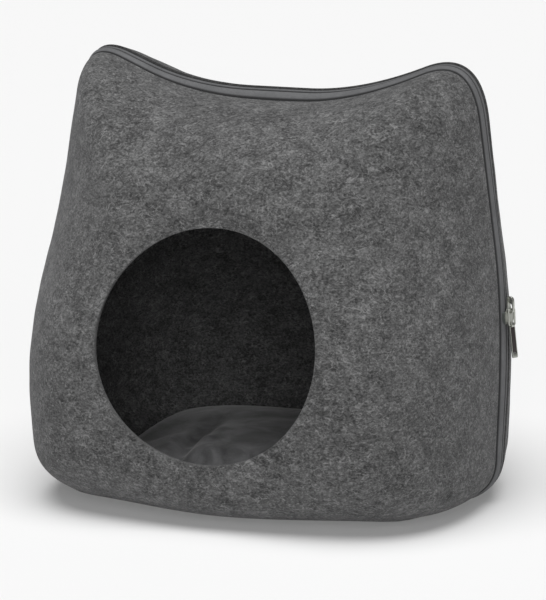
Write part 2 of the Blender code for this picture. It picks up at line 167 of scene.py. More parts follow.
# ---------------------------------------------------------------- the slider's sizes
SLIDER_LIFT = 0.0014  # of the plate's underside over the zip line
PLATE = 0.0010  # its thickness
PANEL_MARGIN = 0.0007
PANEL_SLOPE = 0.0002
PANEL_DEPTH = 0.00025
FLANGE_DEPTH = {1: 0.0042, -1: 0.0048}  # on the back's side and on the front's
FLANGE_THICKNESS = 0.0008
FLANGE = (
    # y, z down the outer face of the wall at the plate's shoulder
    (0.0052, 0.0066), (0.0061, 0.0055), (0.0064, 0.0010), (0.0054, -0.0026),
)
CROWN_WIDTH = 0.0022
LINK_WIRE = 0.0008
LINK_HALF_WIDTH = 0.0034
LINK_BEND = 0.0011
LINK_TOP = Vector((0.0043, 0, 0.0080))  # in the crown
LINK_FOOT = Vector((0.0044, 0, -0.0042))  # in the pull's eye
PULL_WIDTH = 0.0054
PULL_THICKNESS = 0.0013
PULL_LOW = -0.0256  # from the link's foot
PULL_HIGH = -0.0010
PULL_CORNER = 0.0009
PULL_EYE_OUTER = 0.0019
PULL_EYE_INNER = 0.0011
PULL_EYE_LENGTH = 0.0034
FRAME_SIDE = 0.0006
FRAME_FOOT = 0.0038
FRAME_HEAD = 0.0006
WINDOW_CORNER = 0.0006
INSERT_CLEARANCE = 0.0002  # round the insert, which stands as far out of the frame on each side
METAL_EDGE = 0.00028  # how far the metal's edges are rounded
PLATE_EDGE = METAL_EDGE * 0.8
WALL_EDGE = METAL_EDGE * 0.6

# ---------------------------------------------------------------- the cushion's sizes
CUSHION_HALF_LENGTH = 0.135
CUSHION_HALF_WIDTH = 0.108
CUSHION_SQUARE = 3.2  # the power of its outline's curve
CUSHION_DRAWN_IN = 0.03  # share by which its sides pull in
CUSHION_SEAM_HEIGHT = 0.026
CUSHION_TOP = 0.052
CUSHION_REST = 0.0044
CUSHION_FLAT = 3  # the power of its underside's section
CUSHION_CROWN = 2.6  # and of its top's
CUSHION_CROWDING = 0.75  # below 1, its rows lie closer towards the seam
CUSHION_START = 0.96  # the size that it is sewn to, before it is filled
CUSHION_VOXEL = 0.005
SEAM_HALF_WIDTH = 0.0030
SEAM_DEPTH = 0.0012
CREASES_START = 0.012  # height above the seam at which the creases are full
CUSHION_INSIDE = 0.0004  # how far under its solid's surface the filled cover stays

# The creases in the cushion's top, as seen from above with the front below.
CREASES = (
    Fold(-0.054, -0.055, 90, 0.060, 0.009, 0.0088),
    Fold(-0.044, -0.072, 84, 0.045, 0.007, -0.0034),
    Fold(-0.098, -0.060, 75, 0.060, 0.022, 0.0090),
    Fold(-0.078, -0.048, 20, 0.026, 0.010, -0.0030),
    Fold(0.030, -0.060, 110, 0.050, 0.010, 0.0024),
    Fold(0.020, 0.030, 20, 0.060, 0.012, 0.0020),
    Fold(0.080, -0.010, 65, 0.045, 0.010, 0.0018),
)


# ---------------------------------------------------------------- the zip line
Station = namedtuple("Station", "place inwards angle direction band section along")


def ease(share):
    share = min(max(share, 0.0), 1.0)
    return share * share * (3 - 2 * share)


def section_slope(row, column):
    """How fast a column of SECTIONS changes at a row: not at all straight down and straight up."""
    if row in (0, len(SECTIONS) - 1):
        return 0
    before, after = SECTIONS[row - 1], SECTIONS[row + 1]
    return (getattr(after, column) - getattr(before, column)) / (after.direction - before.direction)


def section_at(direction):
    """A row of values for a direction, from a smooth curve through the rows of SECTIONS."""
    degrees = math.degrees(direction)
    row = max(index for index in range(len(SECTIONS) - 1) if SECTIONS[index].direction <= degrees)
    lower, upper = SECTIONS[row], SECTIONS[row + 1]
    span = upper.direction - lower.direction
    share = (degrees - lower.direction) / span
    rest = 1 - share
    values = []
    for column in Section._fields[1:]:
        value = getattr(lower, column) * (1 - ease(share)) + getattr(upper, column) * ease(share)
        value += section_slope(row, column) * span * share * rest * rest
        values.append(value - section_slope(row + 1, column) * span * share * share * rest)
    return Section(degrees, *values)


def rounded_corner(index, steps):
    """A quadratic curve that rounds one corner of the zip line."""
    x, z, before, after = CORNERS[index]
    corner = Vector((x, z))
    previous = Vector(CORNERS[index - 1][:2])
    following = Vector(CORNERS[(index + 1) % len(CORNERS)][:2])
    start = corner + (previous - corner).normalized() * before
    end = corner + (following - corner).normalized() * after
    shares = (step / steps for step in range(steps + 1))
    return [start.lerp(corner, t).lerp(corner.lerp(end, t), t) for t in shares]


def zip_line():
    """Stations round the closed zip line, each with its distance along it."""
    points = []
    rounded = [rounded_corner(index, CORNER_STEPS) for index in range(len(CORNERS))]
    for index, curve in enumerate(rounded):
        points += curve
        leg_end = rounded[(index + 1) % len(rounded)][0]
        steps = max(1, round((leg_end - curve[-1]).length / LEG_STEP))
        points += [curve[-1].lerp(leg_end, step / steps) for step in range(1, steps)]
    stations = []
    distance = 0.0
    for index, point in enumerate(points):
        along = (points[(index + 1) % len(points)] - points[index - 1]).normalized()
        angle = math.atan2(point.y - ENTRANCE_HEIGHT, point.x)
        direction = math.asin(math.sin(angle))
        band = ease((direction - BAND_STARTS) / (BAND_IS_FULL - BAND_STARTS))
        inwards = Vector((-along.y, along.x))
        section = section_at(direction)
        stations.append(Station(point, inwards, angle, direction, band, section, distance))
        distance += (points[(index + 1) % len(points)] - point).length
    return stations


def zipped_part(stations):
    """The stations from the zip's right end, over the ears, to its left end."""
    return [station for station in stations if station.direction > TAPE_ENDS]


def on_floor(height):
    """Presses the mould's curve flat on the floor, with a short blend."""
    if height >= FLOOR_CUT:
        return height
    return max(height + FLOOR_CUT, 0) ** 2 / (4 * FLOOR_CUT)


def in_space(flat, y):
    return Vector((flat.x, y, on_floor(flat.y)))


def on_zip(place, inwards, depth, y, lowest=0.0):
    """A point below the zip line, lifted with the line where the floor presses it up."""
    flat = place + inwards * depth
    lifted = flat.y + on_floor(place.y) - place.y
    return Vector((flat.x, y, max(lifted, lowest)))


# ---------------------------------------------------------------- shared mesh tools
def placed_grid(columns, rows, place, size=(1, 1)):
    """A sheet whose point in a column and a row is at place(column, row), welded where they meet.

    Its UV map holds each point's place on the flat sheet, which is of the given size.
    """
    mesh = bmesh.new()
    flat = mesh.loops.layers.uv.new("flat")
    bmesh.ops.create_grid(mesh, x_segments=columns, y_segments=rows, size=0.5, calc_uvs=True)
    for face in mesh.faces:
        for corner in face.loops:
            corner[flat].uv = ((corner.vert.co.x + 0.5) * size[0], (corner.vert.co.y + 0.5) * size[1])
    for vertex in mesh.verts:
        column = round((vertex.co.x + 0.5) * columns)
        row = round((vertex.co.y + 0.5) * rows)
        vertex.co = place(column, row)
    bmesh.ops.remove_doubles(mesh, verts=mesh.verts, dist=WELD)
    return mesh


def skin_over(rings, closed=False, size=(1, 1)):
    """A skin over a row of rings of points, whose two ends are joined or filled."""
    around, count = len(rings[0]), len(rings)
    rows = count if closed else count - 1
    mesh = placed_grid(around, rows, lambda column, row: rings[row % count][column % around], size)
    if not closed:
        ends = [edge for edge in mesh.edges if edge.is_boundary]
        bmesh.ops.holes_fill(mesh, edges=ends, sides=around)
    bmesh.ops.recalc_face_normals(mesh, faces=mesh.faces)
    return mesh


def round_edges(mesh, width, sharper_than=35, above=-1.0):
    """Rounds a piece's edges that are sharper than an angle in degrees and reach above an X."""
    mesh.normal_update()
    sharp = [
        edge for edge in mesh.edges
        if len(edge.link_faces) == 2 and edge.calc_face_angle() > math.radians(sharper_than)
        and max(vertex.co.x for vertex in edge.verts) > above
    ]
    bmesh.ops.bevel(
        mesh, geom=sharp, offset=width, offset_type="OFFSET", segments=3, profile=0.5,
        affect="EDGES", material=-1, clamp_overlap=True,
    )
    return mesh


def centred(mesh):
    bmesh.ops.translate(mesh, verts=mesh.verts, vec=CENTRE)
    return mesh


def mesh_of(data):
    mesh = bmesh.new()
    mesh.from_mesh(data)
    return mesh


def new_object(name, mesh):
    """An object in the scene, made of a mesh that is used up."""
    data = bpy.data.meshes.new(name)
    mesh.to_mesh(data)
    mesh.free()
    made = bpy.data.objects.new(name, data)
    bpy.context.scene.collection.objects.link(made)
    return made


def applied(piece):
    """Applies a piece's modifiers to its mesh."""
    seen = piece.evaluated_get(bpy.context.evaluated_depsgraph_get())
    made = bpy.data.meshes.new_from_object(seen)
    piece.modifiers.clear()
    piece.data = made


def union(first, second):
    """Joins two closed meshes into one."""
    pieces = [new_object(f"union_{index}", mesh) for index, mesh in enumerate((first, second))]
    joined = pieces[0].modifiers.new("union", "BOOLEAN")
    joined.operation = "UNION"
    joined.solver = "MANIFOLD"
    joined.object = pieces[1]
    applied(pieces[0])
    mesh = mesh_of(pieces[0].data)
    for piece in pieces:
        bpy.data.objects.remove(piece, do_unlink=True)
    return mesh


# ---------------------------------------------------------------- the felt's shape
def felt_edge(station, half, band):
    """The corner of a half's cut edge, in the zip line's plane, and its distance from it."""
    inset = getattr(station.section, half + "_inset") * station.band
    return station.place + station.inwards * inset, max(band * station.band, HALVES_APART / 2)


def front_face(station, share, band):
    """The front half's outer face, from the zip (0) to the entrance (1)."""
    edge, forward = felt_edge(station, "front", band)
    power = 2 / station.section.front_square
    turn = share * math.pi / 2
    inwards = 1 - max(math.cos(turn), 0) ** power
    outwards = math.sin(turn) ** power
    rim = Vector((math.cos(station.angle), math.sin(station.angle))) * ENTRANCE_RADIUS
    reach = ENTRANCE_REACH - math.tan(ENTRANCE_TILT) * rim.y
    reach += ENTRANCE_BOW * math.cos(2 * station.angle)
    rim.y += ENTRANCE_HEIGHT
    return in_space(edge.lerp(rim, inwards), -(forward + (reach - forward) * outwards))


def back_face(station, share, band):
    """The back half's outer face, from the zip (0) to the middle of its round end (1)."""
    edge, backward = felt_edge(station, "back", band)
    power = 2 / station.section.back_square
    lean = station.section.back_lean
    turn = min(share * 2, 1) * math.pi / 2
    outwards = math.sin(turn) ** power
    inwards = lean * outwards + (1 - lean) * (1 - max(math.cos(turn), 0) ** power)
    middle = Vector((0, BACK_HEIGHT))
    end = Vector((math.cos(station.angle), math.sin(station.angle))) * BACK_END_RADIUS
    within = max(share * 2 - 1, 0)
    crown = BACK_END_CROWN * ease(within)
    reach = backward + (BACK_REACH - backward) * outwards + crown
    return in_space(edge.lerp(middle + end, inwards).lerp(middle, within), reach)


FACES = {"front": front_face, "back": back_face}


def even_rings(curve, count):
    """Points along a curve that runs from 0 to 1, closer together towards both of its ends."""
    fine = [curve(step / FINE_STEPS) for step in range(FINE_STEPS + 1)]
    reached = [0.0]
    for before, after in zip(fine, fine[1:]):
        reached.append(reached[-1] + (after - before).length)
    points = []
    at = 0
    for ring in range(count + 1):
        share = ring / count
        crowded = share - RING_CROWDING * math.sin(2 * math.pi * share) / (2 * math.pi)
        wanted = reached[-1] * crowded
        while at < FINE_STEPS - 1 and reached[at + 1] < wanted:
            at += 1
        span = reached[at + 1] - reached[at]
        points.append(fine[at].lerp(fine[at + 1], min((wanted - reached[at]) / span, 1)))
    return points


def fold_depth(folds, across, up, ends):
    """How deep the soft folds are at a place in the plane that they are drawn in."""
    depth = 0.0
    for fold in folds:
        turn = math.radians(fold.turn)
        x, y = across - fold.across, up - fold.up
        along = x * math.cos(turn) + y * math.sin(turn)
        aside = y * math.cos(turn) - x * math.sin(turn)
        near = (along / fold.half_length) ** ends + (aside / fold.half_width) ** 2
        depth += fold.depth * math.exp(-near)
    return depth


def shape_by_hand(mesh, half, felt):
    """Adds the soft folds and the unevenness of moulded felt, away from the edges and the floor."""
    mesh.normal_update()
    moved = []
    for vertex in mesh.verts:
        place = vertex.co
        kept = ease((abs(place.y) - felt.band) / SMOOTH_BY_ZIP) * ease(place.z / SMOOTH_BY_FLOOR)
        if half == "front" and place.y < ENTRANCE_FACE:
            from_rim = Vector((place.x, place.z - ENTRANCE_HEIGHT)).length - ENTRANCE_RADIUS
            kept *= ease(from_rim / SMOOTH_BY_ENTRANCE)
        rough = sum(
            noise.noise(place * scale + offset) * felt.unevenness * share
            for scale, offset, share in WAVES
        )
        depth = fold_depth(FOLDS[half], place.x, place.z, FELT_FOLD_ENDS)
        moved.append(place - vertex.normal * kept * (depth + rough))
    for vertex, place in zip(mesh.verts, moved):
        vertex.co = place


def mark_cut(mesh):
    """Marks the points of the cut edges in the attribute "cut"."""
    # the felt's finish paints shade on these points
    cut = mesh.verts.layers.float.new("cut")
    for vertex in mesh.verts:
        vertex[cut] = 1.0 if vertex.is_boundary else 0.0


def thicken_felt(mesh, felt):
    """Gives a half its thickness inwards: an inner copy of its face, walled along the open edges."""
    mesh.normal_update()
    shift = mesh.verts.layers.float_vector.new("shift")
    for vertex in mesh.verts:
        inwards = -vertex.normal
        from_zip = abs(vertex.co.y) - felt.band
        if vertex.is_boundary and from_zip < HALVES_APART:
            inwards = Vector((inwards.x, 0, inwards.z)).normalized()
        full = ease(max(from_zip, 0) / felt.thins_over)
        vertex[shift] = inwards * (felt.edge + (felt.thickness - felt.edge) * full)
    inner = bmesh.ops.extrude_face_region(mesh, geom=mesh.faces[:], use_keep_orig=True)
    for item in inner["geom"]:
        if isinstance(item, bmesh.types.BMVert):
            item.co += item[shift]
    mesh.verts.layers.float_vector.remove(shift)
    bmesh.ops.recalc_face_normals(mesh, faces=mesh.faces)


def felt_half(stations, half, felt):
    """A half of moulded felt, as a closed mesh."""
    rings = [
        even_rings(lambda share, at=station: FACES[half](at, share, felt.band), FELT_RINGS)
        for station in stations
    ]
    count = len(stations)
    mesh = placed_grid(count, FELT_RINGS, lambda column, row: rings[column % count][row])
    bmesh.ops.recalc_face_normals(mesh, faces=mesh.faces)
    top = max(mesh.faces, key=lambda face: face.calc_center_median().z)
    if top.normal.z < 0:
        bmesh.ops.reverse_faces(mesh, faces=mesh.faces)
    shape_by_hand(mesh, half, felt)
    mark_cut(mesh)
    thicken_felt(mesh, felt)
    return round_edges(mesh, felt.edge_rounding, 50)


# ---------------------------------------------------------------- the zip's shape
def tape_section(station, half, felt, tape):
    """A tape's closed section as pairs of (depth below the zip line, distance from its plane)."""
    edge, reach = felt_edge(station, half, felt.band)
    inset = (edge - station.place).dot(station.inwards)
    start = Vector((TAPE_LIPS * station.band, SLIT / 2))
    under_edge = Vector((inset + felt.edge + TAPE_CLEARANCE, reach))
    straight = under_edge - start
    outwards = Vector((-straight.y, straight.x)).normalized() * TAPE_CROWN[half] * station.band
    outer = []
    for step in range(TAPE_STEPS + 1):
        share = step / TAPE_STEPS
        bulge = math.sin(math.pi * share ** TAPE_BEND[half]) ** 0.5
        outer.append(start + straight * share + outwards * bulge)
    # The lap follows the felt's inner face, which thickens and turns in as it leaves the edge.
    ring = FACES[half](station, LAP_FOLLOWS[half], felt.band)
    turned_in = (Vector((ring.x, ring.z)) - edge).dot(station.inwards)
    slope = (turned_in + felt.thickness - felt.edge) / (abs(ring.y) - reach)
    for step in (0.5, 1.0):
        outer.append(under_edge + Vector((slope * TAPE_LAP + TAPE_CLEARANCE, TAPE_LAP)) * step)
    inner = []
    for index, point in enumerate(outer):
        before = outer[max(index - 1, 0)]
        after = outer[min(index + 1, len(outer) - 1)]
        along = (after - before).normalized()
        inner.append(point + Vector((along.y, -along.x)) * tape.tape_thickness)
    return outer + inner[::-1]


def tape_strip(stations, half, felt, tape):
    """One zip tape: its section swept along the zip line, closed at both ends."""
    side = -1 if half == "front" else 1
    rows = [
        [
            on_zip(station.place, station.inwards, depth, side * away)
            for depth, away in tape_section(station, half, felt, tape)
        ]
        for station in stations
    ]
    length = stations[-1].along - stations[0].along
    return skin_over(rows, size=(len(rows[0]) * TAPE_COLUMN, length))


def along_zip(stations, distance):
    """The place and the direction inwards at a distance along the stations."""
    row = min(bisect(stations, distance, key=lambda station: station.along), len(stations) - 1)
    before, after = stations[row - 1], stations[row]
    share = (distance - before.along) / (after.along - before.along)
    place = before.place.lerp(after.place, share)
    return place, before.inwards.lerp(after.inwards, share).normalized()


def coil_half(stations, side, zip_look):
    """One of the two monofilament coils, wound flat, whose turns lie between the other's."""
    start, end = stations[0].along + COIL_MARGIN, stations[-1].along - COIL_MARGIN
    steps = int((end - start) / zip_look.coil_pitch) * COIL_TURN_STEPS
    half_width, half_height = zip_look.coil_width / 2, zip_look.coil_height / 2
    wire = zip_look.coil_wire
    centres = []
    for step in range(steps + 1):
        turn = 2 * math.pi * step / COIL_TURN_STEPS
        shifted = (step / COIL_TURN_STEPS + (0.5 if side > 0 else 0)) * zip_look.coil_pitch
        place, inwards = along_zip(stations, min(start + shifted, end))
        away = side * (half_width * COIL_MIDDLE + half_width * math.cos(turn))
        depth = COIL_DEPTH + half_height * math.sin(turn)
        centres.append(on_zip(place, inwards, depth, away, wire))
    rings = []
    across = (centres[1] - centres[0]).orthogonal()
    for index, centre in enumerate(centres):
        before, after = centres[max(index - 1, 0)], centres[min(index + 1, steps)]
        along = (after - before).normalized()
        across = (across - along * across.dot(along)).normalized()
        up = along.cross(across)
        rings.append([centre + across * x + up * y for x, y in circle(wire, COIL_SIDES)])
    return skin_over(rings)


# ---------------------------------------------------------------- the slider's shape
def extruded(outline, thickness, axis, window=None):
    """An outline of pairs, with or without a window of as many, as a plate centred on an axis."""
    first, second, third = {"X": (1, 2, 0), "Y": (0, 2, 1)}[axis]
    mesh = bmesh.new()
    loops = []
    for pairs in filter(None, (outline, window)):
        corners = []
        for pair in pairs:
            place = Vector((0, 0, 0))
            place[first], place[second], place[third] = *pair, -thickness / 2
            corners.append(mesh.verts.new(place))
        loops += [mesh.edges.new(ends) for ends in zip(corners, corners[1:] + corners[:1])]
    if window:
        bmesh.ops.bridge_loops(mesh, edges=loops)
    else:
        bmesh.ops.contextual_create(mesh, geom=loops)
    other = bmesh.ops.extrude_face_region(mesh, geom=mesh.faces[:], use_keep_orig=True)
    push = Vector((0, 0, 0))
    push[third] = thickness
    moved = [item for item in other["geom"] if isinstance(item, bmesh.types.BMVert)]
    bmesh.ops.translate(mesh, verts=moved, vec=push)
    bmesh.ops.recalc_face_normals(mesh, faces=mesh.faces)
    return mesh


def rounded_rectangle(half_width, low, high, radius, steps=6):
    """An outline of pairs with rounded corners, centred across and from low to high."""
    inner = half_width - radius
    upper, lower = high - radius, low + radius
    centres = ((inner, upper), (-inner, upper), (-inner, lower), (inner, lower))
    outline = []
    for quarter, (across, up) in enumerate(centres):
        for step in range(steps + 1):
            turn = (quarter + step / steps) * math.pi / 2
            outline.append((across + radius * math.cos(turn), up + radius * math.sin(turn)))
    return outline


def circle(radius, sides=32):
    turns = (2 * math.pi * side / sides for side in range(sides))
    return [(radius * math.cos(turn), radius * math.sin(turn)) for turn in turns]


def smooth_outline(points, passes=2):
    """Cuts an open outline's corners off, which leaves a rounder outline with the same ends."""
    for _ in range(passes):
        cut = [points[0]]
        for before, after in zip(points, points[1:]):
            step = Vector(after) - Vector(before)
            cut += [Vector(before) + step * 0.25, Vector(before) + step * 0.75]
        points = [*cut, points[-1]]
    return [tuple(point) for point in points]


def slider_plate():
    """The plate with its wide shoulders, and a panel set into its face."""
    side = smooth_outline([
        # y, z down one side of the plate
        (0.0016, 0.0180), (0.0021, 0.0165), (0.0023, 0.0085),
        (0.0060, 0.0058), (0.0064, 0.0010), (0.0050, -0.0031),
    ], 1)
    outline = [*side, *((-y, z) for y, z in reversed(side))]
    plate = extruded(outline, PLATE, "X")
    bmesh.ops.translate(plate, verts=plate.verts, vec=(SLIDER_LIFT + PLATE / 2, 0, 0))
    face = max(plate.faces, key=lambda each: each.calc_center_median().x)
    bmesh.ops.inset_individual(plate, faces=[face], thickness=PANEL_MARGIN, depth=0)
    bmesh.ops.inset_individual(plate, faces=[face], thickness=PANEL_SLOPE, depth=-PANEL_DEPTH)
    return round_edges(plate, PLATE_EDGE)


def slider_flange(side):
    """The wall that turns down from the plate's shoulder on one side."""
    outer = smooth_outline([(side * y, z) for y, z in FLANGE], 2)
    inner = smooth_outline([(side * (y - FLANGE_THICKNESS), z) for y, z in reversed(FLANGE)], 2)
    wall = extruded(outer + inner, FLANGE_DEPTH[side], "X")
    lift = SLIDER_LIFT + PLATE / 2 - FLANGE_DEPTH[side] / 2
    bmesh.ops.translate(wall, verts=wall.verts, vec=(lift, 0, 0))
    return round_edges(wall, WALL_EDGE, 50)


def slider_walls():
    """The two flanges, as one mesh."""
    both = bpy.data.meshes.new("walls")
    mesh = bmesh.new()
    for side in FLANGE_DEPTH:
        wall = slider_flange(side)
        wall.to_mesh(both)
        wall.free()
        mesh.from_mesh(both)
    bpy.data.meshes.remove(both)
    return mesh


def slider_crown():
    """The arch that the link runs through."""
    outer = smooth_outline([
        # x, z over the arch's outer face
        (0.0000, 0.0178), (0.0026, 0.0181), (0.0043, 0.0168), (0.0049, 0.0140), (0.0048, 0.0090),
        (0.0043, 0.0062), (0.0032, 0.0051), (0.0016, 0.0047), (0.0000, 0.0048),
    ])
    inner = smooth_outline([
        # and back along its inner face
        (0.0000, 0.0064), (0.0016, 0.0062), (0.0028, 0.0067), (0.0036, 0.0080),
        (0.0037, 0.0105), (0.0029, 0.0125), (0.0000, 0.0135),
    ])
    foot = SLIDER_LIFT + PLATE / 2
    outline = [(foot + x, z) for x, z in outer + inner]
    return round_edges(extruded(outline, CROWN_WIDTH, "Y"), METAL_EDGE, 60, foot + METAL_EDGE / 10)


def link_loop():
    """A loop of wire that runs through the crown and the pull's eye."""
    down = LINK_FOOT - LINK_TOP
    path = rounded_rectangle(LINK_HALF_WIDTH, 0, down.length, LINK_BEND, steps=8)
    centres = [down.normalized() * along + Vector((0, across, 0)) for across, along in path]
    face = down.cross(Vector((0, 1, 0))).normalized()
    rings = []
    for index, centre in enumerate(centres):
        along = (centres[(index + 1) % len(centres)] - centres[index - 1]).normalized()
        up = along.cross(face)
        rings.append([centre + face * x + up * y for x, y in circle(LINK_WIRE, LINK_SIDES)])
    return skin_over(rings, closed=True)


def pull_window(margin):
    """The outline of the frame's window, drawn in by a margin."""
    return rounded_rectangle(
        PULL_WIDTH / 2 - FRAME_SIDE - margin, PULL_LOW + FRAME_FOOT + margin,
        PULL_HIGH - FRAME_HEAD - margin, WINDOW_CORNER - margin,
    )


def pull_eye():
    """The rolled eye that the pull hangs by."""
    eye = extruded(circle(PULL_EYE_OUTER), PULL_EYE_LENGTH, "Y", circle(PULL_EYE_INNER))
    return round_edges(eye, METAL_EDGE, 60)


def pull_plate():
    """The pull's frame, with a plain cap at its foot."""
    outer = rounded_rectangle(PULL_WIDTH / 2, PULL_LOW, PULL_HIGH, PULL_CORNER)
    return round_edges(extruded(outer, PULL_THICKNESS, "X", pull_window(0)), METAL_EDGE, 60)


def insert_block():
    """The dark block that fills the frame's window."""
    thickness = PULL_THICKNESS + 2 * INSERT_CLEARANCE
    return round_edges(extruded(pull_window(INSERT_CLEARANCE), thickness, "X"), METAL_EDGE, 60)


# ---------------------------------------------------------------- the cushion's shape
def cushion_point(turn, share):
    """The cushion's surface: share runs from its underside's middle over its seam to its top."""
    power = 2 / CUSHION_SQUARE
    x = math.copysign(abs(math.cos(turn)) ** power, math.cos(turn)) * CUSHION_HALF_LENGTH
    y = math.copysign(abs(math.sin(turn)) ** power, math.sin(turn)) * CUSHION_HALF_WIDTH
    drawn = 1 - CUSHION_DRAWN_IN * math.cos(2 * turn) ** 2
    across = math.sin(share * math.pi) ** CUSHION_CROWDING
    under = share <= 0.5
    curve = math.sqrt(1 - across ** (CUSHION_FLAT if under else CUSHION_CROWN))
    middle = CUSHION_REST if under else CUSHION_TOP
    height = CUSHION_SEAM_HEIGHT + (middle - CUSHION_SEAM_HEIGHT) * curve
    place = Vector((x, y)) * drawn * across
    return Vector((place.x, place.y, height))


def cushion_case():
    """The cushion's cover as it is sewn, a little smaller than when it is filled."""
    def place(column, row):
        point = cushion_point(2 * math.pi * column / CUSHION_COLUMNS, row / CUSHION_ROWS)
        seam = Vector((0, 0, CUSHION_SEAM_HEIGHT))
        return seam + (point - seam) * CUSHION_START

    mesh = placed_grid(CUSHION_COLUMNS, CUSHION_ROWS, place)
    bmesh.ops.recalc_face_normals(mesh, faces=mesh.faces)
    return mesh


def puff_up(piece, cushion):
    """Fills the cover: a cloth with pressure inside, whose points may move only a little."""
    rest = [vertex.co.copy() for vertex in piece.data.vertices]
    cloth = piece.modifiers.new("filled", "CLOTH")
    cloth.settings.quality = 5
    cloth.settings.use_pressure = True
    cloth.settings.uniform_pressure_force = cushion.pressure
    cloth.settings.effector_weights.gravity = 0
    for frame_number in range(1, FILLING_FRAMES + 1):
        bpy.context.scene.frame_set(frame_number)
    applied(piece)
    for vertex, before in zip(piece.data.vertices, rest):
        step = vertex.co - before
        if step.length > cushion.swell:
            vertex.co = before + step * (cushion.swell / step.length)
    bpy.context.scene.frame_set(1)


def keep_inside(mesh, solid, margin):
    """Brings the points that stand out of a solid back under its surface."""
    skin = mesh_of(solid)
    bmesh.ops.remove_doubles(skin, verts=skin.verts, dist=WELD)
    tree = BVHTree.FromBMesh(skin)
    skin.free()
    for vertex in mesh.verts:
        near, normal, _, _ = tree.find_nearest(vertex.co)
        out = (vertex.co - near).dot(normal)
        if out > -margin:
            vertex.co -= normal * (out + margin)


def crease_cushion(mesh):
    """Adds the creases of the top and the sewn seam round the sides."""
    for vertex in mesh.verts:
        place = vertex.co
        top = ease((place.z - CUSHION_SEAM_HEIGHT) / CREASES_START)
        place.z -= fold_depth(CREASES, place.x - CENTRE.x, place.y, CREASE_ENDS) * top
        from_seam = (place.z - CUSHION_SEAM_HEIGHT) / SEAM_HALF_WIDTH
        outwards = Vector((place.x, place.y, 0)).normalized()
        vertex.co -= outwards * SEAM_DEPTH * math.exp(-from_seam * from_seam)


# ---------------------------------------------------------------- finishes
# A noise: how fine it is, its finer detail and that one's strength, how twisted it is, and the offset
# that sets it apart from the other noises.
Pattern = namedtuple("Pattern", "scale detail rough twist offset", defaults=(2.0, 0.5, 0.0, (0, 0, 0)))
FELT_LIES = (0.72, 0.72, 1.0)  # most fibres lie level, so the patterns are drawn out in X and Y
FELT_PATCHES = Pattern(70, 2, 0.5, 0.4, (3, 1, 4))
FELT_TANGLE = Pattern(310, 2, 0.62, 1.1, (5, 2, 8))
FELT_GRAIN = Pattern(760, 2, 0.6, 0.0, (1, 9, 4))
FELT_CONTRAST = 1.6  # the power that the felt's tone is raised to
CUT_PAINTED_SHADE_SHARE = 0.55  # how much of the painted shade on the cut edges shows
TAPE_SOFT = Pattern(60, 2)
TAPE_FINE = Pattern(420, 2, 0.5, 0.0, (6, 1, 2))
TWILL_SLANT = 0.6
THREADS_PER_RIB = 1.3
COIL_DUST = Pattern(320, 3, 0.6)
METAL_WEAR = Pattern(700, 3, 0.6)
METAL_DRAWN = (2600, 2600, 260)  # the scratches run down the metal
METAL_SCRATCH = Pattern(1, 2, 0.6)
WALL_RUBBED = Pattern(900, 3, 0.6)
INSERT_TONE = Pattern(500, 3)
INSERT_GRAIN = 2400
CUSHION_BRUSHED = Pattern(48, 3, 0.6, 0.5)
CUSHION_PILE = Pattern(1100, 3, 0.7, 0.0, (4, 4, 1))

# The felt's short strands: how fine they are, how wide, how much of each line shows, their offset.
STRAND_ENDS = 0.06  # how softly the strands end
Strands = namedtuple("Strands", "scale width length offset")
PALE_STRANDS = Strands(130, 0.030, 0.50, (0, 0, 0))
PALE_SHORT_STRANDS = Strands(230, 0.035, 0.50, (7, 3, 1))
DARK_STRANDS = Strands(150, 0.040, 0.52, (2, 8, 5))

# Across its outer face a tape runs from -1 at the slit to 1 at the felt, with painted shade in its folds.
PAINTED_SHADE_BY_FELT = (0.10, 0.45)
PAINTED_SHADE_BY_SLIT = (-0.80, -1.0)


def node(tree, kind, inputs=None, **settings):
    """Adds a shader node and fills or links its inputs."""
    made = tree.nodes.new("ShaderNode" + kind)
    for name, value in settings.items():
        setattr(made, name, value)
    for name, value in (inputs or {}).items():
        fill(tree, made.inputs[name], value)
    return made


def fill(tree, socket, value):
    """Links a socket to another, or gives it a value."""
    if isinstance(value, bpy.types.NodeSocket):
        tree.links.new(value, socket)
    else:
        socket.default_value = value


def calculated(tree, operation, *values, clamp=False):
    """The output of a Math node."""
    made = node(tree, "Math", dict(enumerate(values)), operation=operation, use_clamp=clamp)
    return made.outputs[0]


def ranged(tree, value, low, high, to_low=0.0, to_high=1.0):
    """A value eased from one range into another."""
    inputs = {"Value": value, "From Min": low, "From Max": high, "To Min": to_low, "To Max": to_high}
    return node(tree, "MapRange", inputs, interpolation_type="SMOOTHSTEP").outputs["Result"]


def blended(tree, share, first, second):
    """A colour between two colours."""
    made = node(tree, "Mix", data_type="RGBA")
    inputs = {socket.identifier: socket for socket in made.inputs}
    for name, value in (("Factor_Float", share), ("A_Color", first), ("B_Color", second)):
        fill(tree, inputs[name], value)
    return next(each for each in made.outputs if each.identifier == "Result_Color")


def shade_of(colour, factor):
    """A colour times a factor, with full alpha."""
    return (*(channel * factor for channel in colour), 1)


def shades(tree, tone, colour, darkest, palest):
    """A colour's own shades, from its darkest times a factor to its palest, by a tone."""
    return blended(tree, tone, shade_of(colour, darkest), shade_of(colour, palest))


def object_place(tree):
    return node(tree, "TexCoord").outputs["Object"]


def scaled(tree, where, scale):
    return node(tree, "Mapping", {"Vector": where, "Scale": scale}).outputs[0]


def cloudy(tree, where, pattern):
    """Soft noise, from 0 to 1."""
    place = node(tree, "VectorMath", {0: where, 1: pattern.offset}, operation="ADD").outputs[0]
    inputs = {
        "Vector": place, "Scale": pattern.scale, "Detail": pattern.detail,
        "Roughness": pattern.rough, "Distortion": pattern.twist,
    }
    return node(tree, "TexNoise", inputs).outputs["Fac"]


